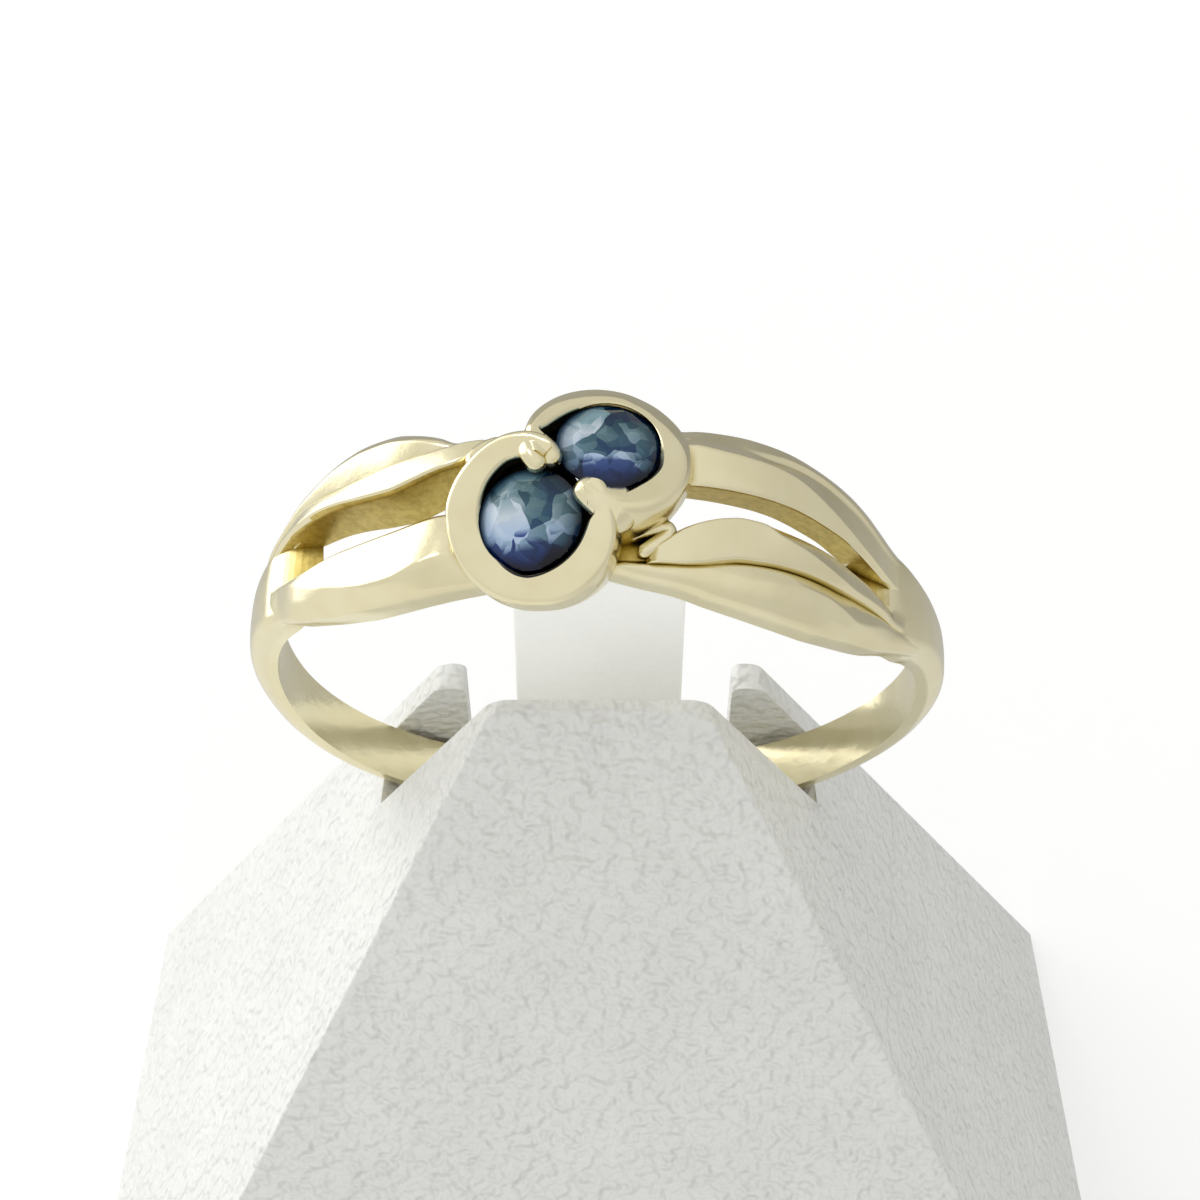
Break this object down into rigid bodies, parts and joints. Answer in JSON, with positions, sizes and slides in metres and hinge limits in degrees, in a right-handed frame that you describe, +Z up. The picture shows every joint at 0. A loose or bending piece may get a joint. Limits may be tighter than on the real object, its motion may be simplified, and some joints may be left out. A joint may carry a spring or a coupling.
{
  "type": "sapphire ring on display stand",
  "caption": "Gold finger ring with split leaf shoulders and an S-shaped bezel setting for round sapphires, upright in the slot of a plain wedge-shaped display stand.",
  "frame": {"origin": "middle of the whole part's footprint, on the surface that the stand's base rests on", "axes": "+Z up, the finger hole's axis along Y, the stand's sloping front face towards -Y, +X to the right"},
  "size_m": [0.0354, 0.0228, 0.0376],
  "materials": {
    "gold": "polished pale yellow gold",
    "sapphire": "faceted blue sapphire",
    "stand_white": "matte white, finely pebbled front face",
    "tongue_white": "matte white, smooth"
  },
  "bodies": {
    "root": {"ring_band": "gold", "front_sapphire": "sapphire", "rear_sapphire": "sapphire", "stand_block": "stand_white", "stand_tongue": "tongue_white"}
  },
  "joints": []
}
